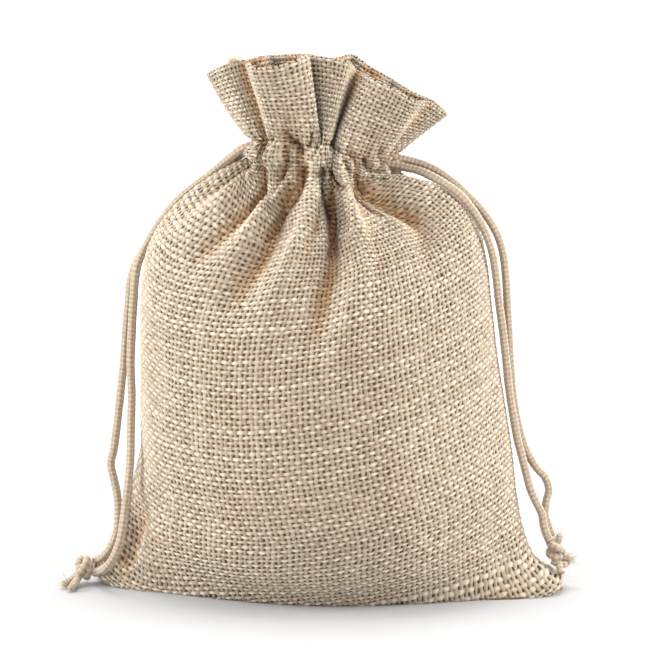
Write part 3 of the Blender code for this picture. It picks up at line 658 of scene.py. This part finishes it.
# %% Routes of the four strands, in mm
CORD_DIAMETER = 2.4
CORD_STEP = 0.3
CORDS = {
    "cord_left_front": (
        (-24.1, 0.6, 122.4), (-26.9, 2.7, 120.1), (-30.5, 4.0, 117.0), (-34.1, 4.2, 114.0),
        (-37.7, 4.1, 111.4), (-41.1, 4.2, 108.6), (-44.2, 5.0, 105.2), (-47.1, 5.8, 101.4),
        (-49.7, 5.9, 97.2), (-51.8, 5.2, 93.5), (-53.3, 4.2, 90.0), (-54.1, 3.4, 86.0),
        (-54.6, 2.6, 80.0), (-55.2, 2.0, 71.0), (-55.6, 1.4, 62.0), (-55.4, 0.2, 53.1),
        (-55.6, -2.2, 44.0), (-55.6, -4.8, 37.5), (-56.0, -7.3, 31.0), (-56.6, -9.4, 25.5),
        (-57.2, -11.0, 20.2), (-58.2, -12.2, 14.8), (-60.0, -12.2, 10.2), (-62.2, -10.4, 6.8),
        (-64.2, -6.9, 4.6), (-66.2, -4.9, 3.5),
    ),
    "cord_left_back": (
        (-24.4, 4.4, 120.4), (-28.0, 6.4, 116.9), (-31.4, 6.4, 114.2), (-35.0, 6.3, 111.5),
        (-38.4, 6.5, 108.8), (-41.5, 7.2, 105.8), (-44.8, 8.6, 102.2), (-48.0, 9.6, 98.7),
        (-50.7, 9.3, 95.2), (-52.9, 8.2, 91.8), (-54.7, 7.0, 88.2), (-55.7, 6.0, 84.5),
        (-56.2, 5.2, 79.5), (-57.1, 4.4, 70.5), (-57.8, 3.6, 61.6), (-58.8, 2.8, 52.6),
        (-59.9, 1.4, 43.2), (-60.8, 0.5, 37.1), (-61.5, 0.0, 33.8), (-60.8, -0.6, 30.1),
        (-59.7, -1.9, 25.0), (-59.4, -3.5, 19.6), (-59.9, -5.2, 14.8), (-61.6, -6.2, 10.9),
        (-64.0, -4.8, 7.9), (-66.0, -2.9, 6.5),
    ),
    "cord_right_front": (
        (20.9, -3.0, 117.6), (24.6, -4.2, 116.8), (28.2, -5.8, 115.3), (31.6, -7.2, 113.5),
        (35.2, -8.1, 110.9), (38.3, -7.6, 107.2), (40.8, -7.0, 103.2), (42.7, -6.8, 99.2),
        (44.1, -6.6, 95.0), (45.3, -6.4, 88.4), (46.1, -6.3, 81.7), (47.4, -6.2, 72.7),
        (48.5, -6.1, 63.7), (49.6, -6.0, 54.6), (50.8, -6.2, 47.8), (51.9, -6.5, 42.1),
        (53.1, -6.9, 37.6), (54.3, -7.3, 33.0), (55.6, -7.7, 28.3), (57.3, -8.0, 24.5),
        (58.8, -8.1, 21.4), (59.4, -8.2, 18.0), (60.2, -8.2, 15.6), (60.9, -8.0, 13.9),
    ),
    "cord_right_back": (
        (21.3, 0.6, 119.2), (25.0, 0.4, 118.2), (29.4, -0.6, 116.3), (33.8, -1.8, 113.4),
        (37.6, -2.6, 109.9), (41.3, -3.0, 106.1), (44.0, -3.1, 102.3), (46.1, -3.0, 98.2),
        (47.3, -2.9, 94.1), (48.2, -2.8, 87.6), (48.7, -2.7, 81.0), (49.3, -2.6, 72.0),
        (49.9, -2.6, 62.9), (50.8, -2.6, 53.8), (52.0, -2.8, 46.9), (53.5, -3.0, 41.2),
        (55.5, -3.2, 36.6), (57.7, -3.4, 33.2), (60.0, -3.6, 30.6), (61.0, -3.8, 27.3),
        (60.3, -4.2, 23.9), (60.0, -4.6, 20.6), (60.9, -4.9, 17.2), (61.9, -5.2, 14.3),
    ),
}


def lengths_along(line):
    """How far along the line each of its points lies."""
    leg = np.linalg.norm(np.diff(line, axis=0), axis=1)
    return np.append(0, np.cumsum(leg))


def smooth_route(route, step):
    points = np.array(route, float) - (*BOX_MIDDLE, 0)
    length = lengths_along(points)
    wanted = np.linspace(0, length[-1], max(round(length[-1] / step), 2) + 1)
    return np.stack([curve_through(length, points[:, i], wanted, True) for i in range(3)], axis=1)


# %% [markdown]
# A braided cord is six strands that pass over and under each other in two opposite spirals.
# From a step away that reads as rows of small diamonds, so the tube's skin is raised where the
# two spirals agree and sunk where they don't.


# %% Braided tube along a route
BRAID_RELIEF = 0.11
BRAID_PITCH = 2.5
STRAND_PAIRS = 3


def frames_along(line):
    """Two directions square to the line at each point, that turn as little as they can."""
    ahead = np.gradient(line, axis=0)
    ahead /= np.linalg.norm(ahead, axis=1, keepdims=True)
    side = np.cross(ahead[0], (0, 0, 1) if abs(ahead[0][2]) < 0.9 else (1, 0, 0))
    sides = []
    for direction in ahead:
        side = side - direction * np.dot(side, direction)
        side = side / np.linalg.norm(side)
        sides.append(side)
    sides = np.array(sides)
    return sides, np.cross(ahead, sides)


def braided_tube(name, line, diameter, seed, around=24):
    """A cord's tube, its skin raised in the diamonds of a six-strand braid."""
    along = lengths_along(line)
    angle = np.linspace(0, 2 * math.pi, around + 1)
    side, other = frames_along(line)
    phase = BRAID_PITCH * along[:, None] + 0.5 * np.sin(along[:, None] / 1.9 + seed)
    turns = STRAND_PAIRS * angle[None, :]
    braid = np.cos(turns + phase) * np.cos(turns - phase)
    rng = np.random.default_rng(seed)
    swell = rng.normal(0, 0.02, int(along[-1] / 3) + 3)
    swell = np.interp(along, np.arange(0, along[-1] + 6, 3), swell)
    radius = diameter / 2 * (0.96 + swell[:, None] + BRAID_RELIEF * braid)
    points = (
        line[:, None, :]
        + side[:, None, :] * (radius * np.cos(angle))[..., None]
        + other[:, None, :] * (radius * np.sin(angle))[..., None]
    )
    # Painted light and shade: the raised diamonds of the braid are lighter and the sunk gaps between
    # them darker.
    tone = 0.48 + 0.26 * braid + rng.normal(0, 0.07, braid.shape)
    uv = np.stack(np.broadcast_arrays(along[:, None] + seed * 7.3, angle[None, :]), axis=-1)
    values = {"tone": tone, "hollow": np.zeros_like(tone)}
    return bent_grid(name, points, values=values, uv=uv)


def closed_up(piece, fill):
    """The piece with the edges that meet joined, and its holes filled as fill says."""
    bm = bmesh.new()
    bm.from_mesh(piece.data)
    bmesh.ops.remove_doubles(bm, verts=bm.verts, dist=1e-6)
    fill(bm)
    bmesh.ops.recalc_face_normals(bm, faces=bm.faces)
    bm.to_mesh(piece.data)
    bm.free()
    return piece


def fill_ends(bm):
    bmesh.ops.holes_fill(bm, edges=[edge for edge in bm.edges if edge.is_boundary], sides=0)


# %% Lay the four strands
INTO_THE_CASING = {
    "cord_left_front": ((-19.0, -0.8, 123.2), (-21.8, -0.2, 123.3)),
    "cord_left_back": ((-18.6, 2.4, 122.8), (-21.6, 3.2, 122.2)),
    "cord_right_front": ((14.6, -2.2, 118.6), (17.8, -2.4, 118.1)),
    "cord_right_back": ((15.2, 0.2, 120.4), (18.2, 0.4, 119.9)),
}
cords = {}
for number, (name, route) in enumerate(CORDS.items()):
    line = smooth_route((*INTO_THE_CASING[name], *route), CORD_STEP)
    strand = closed_up(braided_tube(name + "_braid", line, CORD_DIAMETER, number), fill_ends)
    strand.data.materials.append(cord_jute)
    cords[name] = (strand, line)
    print(name, "is", round(lengths_along(line)[-1]), "mm long")

# %% [markdown]
# ## The knots
# Each knot is an overhand knot tied in both strands at once. What shows is a wrap or two round
# the strands, and the short tails that come out of it, which have begun to fray. A loose fibre is
# a thin ribbon of a few points, so one helper serves the tails here and the fuzz later on.


# %% Ribbons of fibre
RIBBON_POINTS = 6
OFF_THE_TABLE = 0.02


def fibres(name, roots, ways, lengths, curls, width, seed):
    """Ribbons from the roots, each along its own way and bent by its own curl."""
    rng = np.random.default_rng(seed)
    along = np.linspace(0, 1, RIBBON_POINTS)[:, None, None]
    spine = roots + ways * lengths[:, None] * along + curls * lengths[:, None] * along**2
    side = np.cross(ways, rng.normal(size=roots.shape))
    side /= np.linalg.norm(side, axis=1, keepdims=True)
    thin = width / 2 * side * (1 - 0.6 * along)
    points = np.stack([spine - thin, spine + thin], axis=2).reshape(RIBBON_POINTS, -1, 3)
    points[..., 2] = np.maximum(points[..., 2], OFF_THE_TABLE)
    flat = np.ones(points.shape[:2])
    steps, sides = np.indices(points.shape[:2])
    uv = np.stack([steps * 0.4, sides * 1.0], axis=-1)
    values = {"tone": flat * 0.75, "hollow": flat * 0}
    return bent_grid(name, points, strip=2, values=values, uv=uv)


# %% The strands that make each knot
KNOTS = {
    "knot_left": {
        "core": ((-66.0, -3.9, 4.8), (-68.2, -3.7, 4.8), (-69.6, -3.8, 4.3), (-70.6, -4.2, 3.4)),
        "first wrap": (
            (-70.7, -3.2, 2.2), (-70.9, -5.2, 2.5), (-70.1, -6.4, 3.8), (-69.1, -6.4, 5.4),
            (-68.4, -5.2, 6.7), (-68.5, -3.2, 6.9), (-69.3, -2.2, 5.6),
        ),
        "second wrap": (
            (-69.8, -2.6, 6.7), (-70.7, -4.4, 6.4), (-70.3, -5.5, 5.2), (-69.3, -5.6, 3.8),
            (-68.5, -5.2, 2.6), (-68.4, -3.6, 1.9), (-69.2, -2.4, 2.2),
        ),
        "right band": (
            (-68.3, -2.8, 6.4), (-67.9, -4.8, 6.0), (-67.7, -5.6, 4.4), (-68.1, -4.8, 2.6),
        ),
        "first tail": ((-70.6, -4.2, 3.2), (-72.2, -6.6, 2.2), (-74.4, -9.4, 1.5)),
        "second tail": ((-70.4, -5.2, 2.6), (-71.2, -8.8, 1.8), (-71.9, -12.2, 1.4)),
    },
    "knot_right": {
        "core": ((61.0, -6.8, 14.2), (62.0, -7.0, 11.8), (62.8, -7.4, 10.0), (63.2, -7.6, 8.2)),
        "upper wrap": (
            (61.2, -8.2, 12.8), (62.6, -9.1, 12.2), (64.2, -8.5, 11.3), (64.8, -7.0, 10.6),
            (63.8, -5.7, 10.4), (62.2, -5.7, 10.4), (61.2, -6.8, 10.0), (61.6, -8.4, 9.5),
            (63.0, -9.1, 9.2), (64.4, -8.4, 9.4),
        ),
        "lower wrap": (
            (62.0, -8.4, 8.0), (63.4, -9.2, 7.5), (65.0, -8.8, 7.1), (66.0, -7.4, 7.2),
            (65.0, -6.4, 7.6), (63.2, -6.4, 7.8),
        ),
        "cut tail": ((62.8, -7.0, 11.8), (63.6, -7.0, 13.3), (64.0, -6.8, 14.8)),
        "frayed tail": ((64.2, -7.6, 8.6), (65.8, -7.8, 8.8), (67.0, -7.9, 8.4)),
        "front tail": ((63.6, -9.2, 7.6), (63.9, -10.6, 6.4), (64.2, -11.6, 5.2)),
    },
}
FRAYED = {
    "first tail": 60, "second tail": 60, "cut tail": 70, "frayed tail": 150, "front tail": 40,
}


def frayed_end(name, line, count, seed):
    """Loose fibres that stand out of a cut end, most of them onward."""
    rng = np.random.default_rng(seed)
    onward = (line[-1] - line[-4]) / np.linalg.norm(line[-1] - line[-4])
    roots = line[-1] + rng.normal(0, 0.5, (count, 3)) - onward * rng.uniform(0, 2.0, (count, 1))
    ways = onward + rng.normal(0, 0.7, (count, 3))
    ends = rng.uniform(0.6, 1.7, count)
    return fibres(name, roots, ways, ends, rng.normal(0, 0.3, (count, 3)), 0.13, seed)


def joined(name, pieces, material):
    """Several pieces made one object."""
    bm = bmesh.new()
    for piece in pieces:
        bm.from_mesh(piece.data)
    mesh = bpy.data.meshes.new(name)
    bm.to_mesh(mesh)
    bm.free()
    for piece in pieces:
        bpy.data.objects.remove(piece, do_unlink=True)
    mesh.materials.append(material)
    return in_the_scene(name, mesh)


# %% Tie the knots
KNOT_STEP = 0.2
CORE_SHARE = 1.2
WRAP_SHARE = 0.88
knots = {}
for knot, strands in KNOTS.items():
    pieces = []
    for number, (strand, route) in enumerate(strands.items()):
        line = smooth_route(route, KNOT_STEP)
        size = CORD_DIAMETER * (CORE_SHARE if strand == "core" else WRAP_SHARE)
        pieces.append(closed_up(braided_tube(strand, line, size, number + 11, 18), fill_ends))
        if strand in FRAYED:
            pieces.append(frayed_end(strand + " fibres", line, FRAYED[strand], number + 31))
    knots[knot] = joined(knot + "_tied", pieces, cord_jute)
print("knots:", list(knots))

# %% [markdown]
# ## The ground of the cloth
# Between the threads of real burlap you look through small square holes into shade. A thin dark
# sheet just under the threads gives that shade.

# %% Lay the ground sheet
GROUND_SINK = 0.42
GROUND_LOW = 0.05
ground_lines = np.linspace(0, CLOTH_ROUND, 209)
ground_rows = np.linspace(0, CLOTH_HIGH - 0.4, 123)
spot = np.meshgrid(ground_lines, ground_rows)
ground_points = on_cloth(spot[0], spot[1], np.full(spot[0].shape, -GROUND_SINK))
ground_points[..., 2] = np.maximum(ground_points[..., 2], GROUND_LOW)


def fill_bottom(bm):
    low = [e for e in bm.edges if e.is_boundary and max(v.co.z for v in e.verts) < 2 * MM]
    bmesh.ops.contextual_create(bm, geom=low)


ground = closed_up(bent_grid("cloth_ground", ground_points), fill_bottom)
thickness = ground.modifiers.new("Thickness", "SOLIDIFY")
thickness.thickness = 0.15 * MM
thickness.offset = -1
print("ground sheet has", len(ground.data.polygons), "faces")


# %% Shade between the threads
def shade_cloth(name, colour):
    """A dark matt material with fine mottles."""
    material, nodes, links, shader = new_material(name)
    set_inputs(shader, Roughness=1.0, Specular_IOR_Level=0.1)
    place = nodes.new("ShaderNodeTexCoord")
    mottle = set_inputs(nodes.new("ShaderNodeTexNoise"), Scale=900.0)
    links.new(place.outputs["Object"], mottle.inputs["Vector"])
    ramp = nodes.new("ShaderNodeValToRGB")
    ramp.color_ramp.elements[0].color = (*[value * 0.6 for value in colour], 1)
    ramp.color_ramp.elements[1].color = (*[value * 1.4 for value in colour], 1)
    links.new(mottle.outputs["Fac"], ramp.inputs["Fac"])
    links.new(ramp.outputs["Color"], shader.inputs["Base Color"])
    return material


ground.data.materials.append(shade_cloth("shade between threads", (0.14, 0.092, 0.052)))

# %% [markdown]
# ## Weaving
# In a plain weave every weft thread goes over one warp thread and under the next, and its
# neighbour does the opposite. Each thread is a ridged strip of three columns of points. It rises
# where it passes over and sinks where it passes under, and it wanders a little, because jute is
# spun unevenly.

# %% Count the threads
WARPS = 180
WEFTS = 126
WARP_PITCH = CLOTH_ROUND / WARPS
WEFT_PITCH = CLOTH_HIGH / WEFTS
WAVE = 0.22
RIDGE = 0.34
WARP_WIDTH = 0.69
WEFT_WIDTH = 0.61
WARP_PAINTED_LIGHT_AND_SHADE = 0.08
WEFT_PAINTED_LIGHT_AND_SHADE = 0.19
INSIDE = -0.95
HEM_FROM = 158.0
print("pitch", round(WARP_PITCH, 3), "by", round(WEFT_PITCH, 3), "mm")


def wander(count, places, rng, sizes, lengths):
    """A smooth random drift for each of count threads, read at the places along it."""
    drift = np.zeros((count, len(places)))
    for size, length in zip(sizes, lengths):
        phase = rng.uniform(0, 2 * math.pi, (count, 1))
        stretch = rng.uniform(0.75, 1.3, (count, 1))
        drift += size * np.sin(2 * math.pi * places[None, :] * stretch / length + phase)
    return drift


# %% [markdown]
# The top of the cloth is turned over and comes down again inside, as far as the casing. So a warp
# thread runs up the outside, bends over the rim, and goes down the inside of the frill.


# %% One family of threads
def thread_family(name, pitches, lines, steps, parity, seed, width, base_lift, facing, warp):
    """Strips for the threads on these lines. steps are crossings, counted along each thread."""
    rng = np.random.default_rng(seed)
    count = len(lines)
    across_pitch, along_pitch = pitches
    travel = np.arange(len(steps)) * 0.5
    sway = wander(count, travel, rng, (0.06, 0.07, 0.06), (4.0, 9.0, 27.0)) * across_pitch
    slub = wander(count, travel, rng, (0.11, 0.09, 0.06), (2.3, 7.0, 19.0))
    slub += rng.normal(0, 0.07, (count, 1))
    wide = width * across_pitch * np.clip(1 + slub, 0.6, 1.38)
    over = np.cos(math.pi * (steps[None, :] + parity[:, None]))
    offset = np.array([-0.5, 0.0, 0.5])
    ridge = np.array([-0.5, 0.5, -0.5]) * RIDGE
    across = (lines * across_pitch)[:, None, None] + sway[..., None] + wide[..., None] * offset
    along = np.broadcast_to((steps * along_pitch)[None, :, None], across.shape)
    rise = WAVE * over[..., None] + ridge
    lift = base_lift[None, :, None] + facing[None, :, None] * rise

    def laid(value):
        return np.swapaxes(np.broadcast_to(value, across.shape), 0, 1).reshape(len(steps), -1)

    cloth, row = (laid(across), laid(along)) if warp else (laid(along), laid(across))
    points, cloth, row = woven(cloth, row, laid(lift))
    points[..., 2] = np.maximum(points[..., 2], OFF_THE_TABLE)
    tone = rng.normal(0.5, 0.055, (count, 1))
    tone = tone + wander(count, travel, rng, (0.05, 0.05, 0.04), (2.3, 7.0, 23.0))
    # Painted light and shade: a thread is made lighter where it passes over and darker where it
    # passes under.
    tone = tone[..., None] + (WARP_PAINTED_LIGHT_AND_SHADE if warp else WEFT_PAINTED_LIGHT_AND_SHADE) * over[..., None]
    # Painted shade: the strip's two edges are darker and its middle lighter, as a round thread is
    # shaded.
    tone = tone + np.array([-0.10, 0.07, -0.10])
    label = np.broadcast_to(np.arange(count)[:, None, None] * 3.7 + offset, across.shape)
    uv = np.stack([laid(travel[None, :, None] * 1.4), laid(label)], axis=-1)
    values = {"tone": laid(tone), "hollow": read(hollow, cloth, row)}
    return bent_grid(name, points, strip=3, values=values, uv=uv)


# %% The warp threads' way over the rim
outside_steps = np.arange(0, WEFTS + 0.01, 0.5)
bend = np.radians([30, 90, 150])
inside_steps = np.arange(WEFTS, HEM_FROM / WEFT_PITCH, -0.5)
warp_steps = np.concatenate([outside_steps, WEFTS + 0.3 * np.sin(bend), inside_steps])
up, down = np.ones(len(outside_steps)), np.ones(len(inside_steps))
warp_lift = np.concatenate([0 * up, INSIDE / 2 * (1 - np.cos(bend)), INSIDE * down])
warp_facing = np.concatenate([up, np.cos(bend), -down])
print("a warp thread has", len(warp_steps), "points")

# %% Weave the sack, front and back
threads = []
for face, first, last in (("front", 0, WARPS // 2), ("back", WARPS // 2, WARPS)):
    lines = np.arange(first, last)
    warp = thread_family(
        f"warp_{face}", (WARP_PITCH, WEFT_PITCH), lines + 0.5, warp_steps, lines % 2 + 0.5,
        3 + first, WARP_WIDTH, warp_lift, warp_facing, True,
    )
    warp.data.materials.append(warp_jute)
    threads.append(warp)
    steps = np.arange(first, last + 0.01, 0.5)
    flat = np.zeros(len(steps))
    for kind, lowest, way, seed, lift, facing in (
        ("weft", 0, steps, 41, 0, 1),
        ("weft_inside", int(HEM_FROM / WEFT_PITCH), steps[::-1], 57, INSIDE, -1),
    ):
        rows = np.arange(lowest, WEFTS)
        weft = thread_family(
            f"{kind}_{face}", (WEFT_PITCH, WARP_PITCH), rows + 0.5, way, rows % 2 + 1.5,
            seed, WEFT_WIDTH, flat + lift, flat + facing, False,
        )
        weft.data.materials.append(weft_jute)
        threads.append(weft)
print("threads:", [(piece.name, len(piece.data.polygons)) for piece in threads])

# %% [markdown]
# ## Loose fibres
# Jute sheds. Short fibres stand off the cloth everywhere, which softens its edges, and one small
# tuft has worked loose from the rim at the left.


# %% Fuzz all over, and the tuft at the rim
rng = np.random.default_rng(8)
FUZZ = 3000
cloth, row = rng.uniform(0, CLOTH_ROUND, FUZZ), rng.uniform(3, CLOTH_HIGH, FUZZ)
out, up = read(normals, cloth, row), read(upward, cloth, row)
turn = rng.uniform(0, 2 * math.pi, (FUZZ, 1))
along_cloth = np.cos(turn) * up + np.sin(turn) * np.cross(out, up)
roots = on_cloth(cloth, row, np.full(FUZZ, 0.1))
ways = along_cloth + out * rng.uniform(0.1, 0.7, (FUZZ, 1))
lengths, curls = rng.uniform(0.6, 2.0, FUZZ), rng.normal(0, 0.35, (FUZZ, 3))
fuzz = fibres("fuzz", roots, ways, lengths, curls, 0.07, 9)
TUFT = 130
TUFT_LINE = 28
cloth = rng.normal(TUFT_LINE, 1.3, TUFT)
roots = on_cloth(cloth, np.full(TUFT, CLOTH_HIGH), np.full(TUFT, -0.4))
ways = np.array([-0.35, 0.1, 0.75]) + rng.normal(0, 0.42, (TUFT, 3))
lengths, curls = rng.uniform(1.0, 3.2, TUFT), rng.normal(0, 0.4, (TUFT, 3))
tuft = fibres("tuft", roots, ways, lengths, curls, 0.15, 10)
for piece in (fuzz, tuft):
    piece.data.materials.append(weft_jute)
    threads.append(piece)
print("fibres:", len(fuzz.data.polygons) + len(tuft.data.polygons), "faces")

# %% [markdown]
# ## Floor and light
# The sack stands on a pale sweep between two soft lights, with a third overhead. The sweep is
# greyer near the sack, so the light doesn't wash out the shadow under it.

# %% Floor
bm = bmesh.new()
bmesh.ops.create_grid(bm, x_segments=1, y_segments=1, size=4)
floor_mesh = bpy.data.meshes.new("floor")
bm.to_mesh(floor_mesh)
bm.free()
floor = in_the_scene("floor", floor_mesh)
floor_white, nodes, links, shader = new_material("white sweep")
place = nodes.new("ShaderNodeTexCoord")
away = nodes.new("ShaderNodeVectorMath")
away.operation = "LENGTH"
links.new(place.outputs["Object"], away.inputs[0])
paler = nodes.new("ShaderNodeMapRange")
set_inputs(paler, From_Min=0.10, From_Max=0.60, To_Min=0.405, To_Max=0.80)
links.new(away.outputs["Value"], paler.inputs["Value"])
links.new(paler.outputs["Result"], shader.inputs["Base Color"])
set_inputs(shader, Roughness=0.9)
floor_mesh.materials.append(floor_white)

# %% Lights
world = bpy.data.worlds.new("studio")
bpy.context.scene.world = world
world.use_nodes = True
set_inputs(world.node_tree.nodes["Background"], Color=(1, 1, 1, 1), Strength=1.42)
LIT_POINT = Vector((0, 0, 0.07))


def softbox(name, place, size, watts):
    light = bpy.data.lights.new(name, "AREA")
    light.shape = "SQUARE"
    light.size = size
    light.energy = watts
    lamp = in_the_scene(name, light)
    lamp.location = place
    lamp.rotation_euler = (LIT_POINT - lamp.location).to_track_quat("-Z", "Y").to_euler()


softbox("left light", (-0.85, -0.08, 0.34), 0.45, 8.4)
softbox("right light", (0.85, -0.08, 0.34), 0.45, 9.0)
softbox("top light", (0.0, 0.12, 0.95), 0.4, 6.4)
bpy.context.scene.view_settings.view_transform = "Standard"
print("three soft lights")

# %% [markdown]
# ## The pieces on the body
# Every piece rides on the sack's one body and stands for the plain solid that holds its place.

# %% Put each piece on the body, and hide the solid it stands for
ROOT = "root"
for piece in [ground, *threads]:
    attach(piece, ROOT)
    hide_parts("sack")
for knot, piece in knots.items():
    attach(piece, ROOT)
    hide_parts(knot)
for name, (strand, line) in cords.items():
    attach(strand, ROOT)
    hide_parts(name)
    knot = knots["knot_left" if "left" in name else "knot_right"]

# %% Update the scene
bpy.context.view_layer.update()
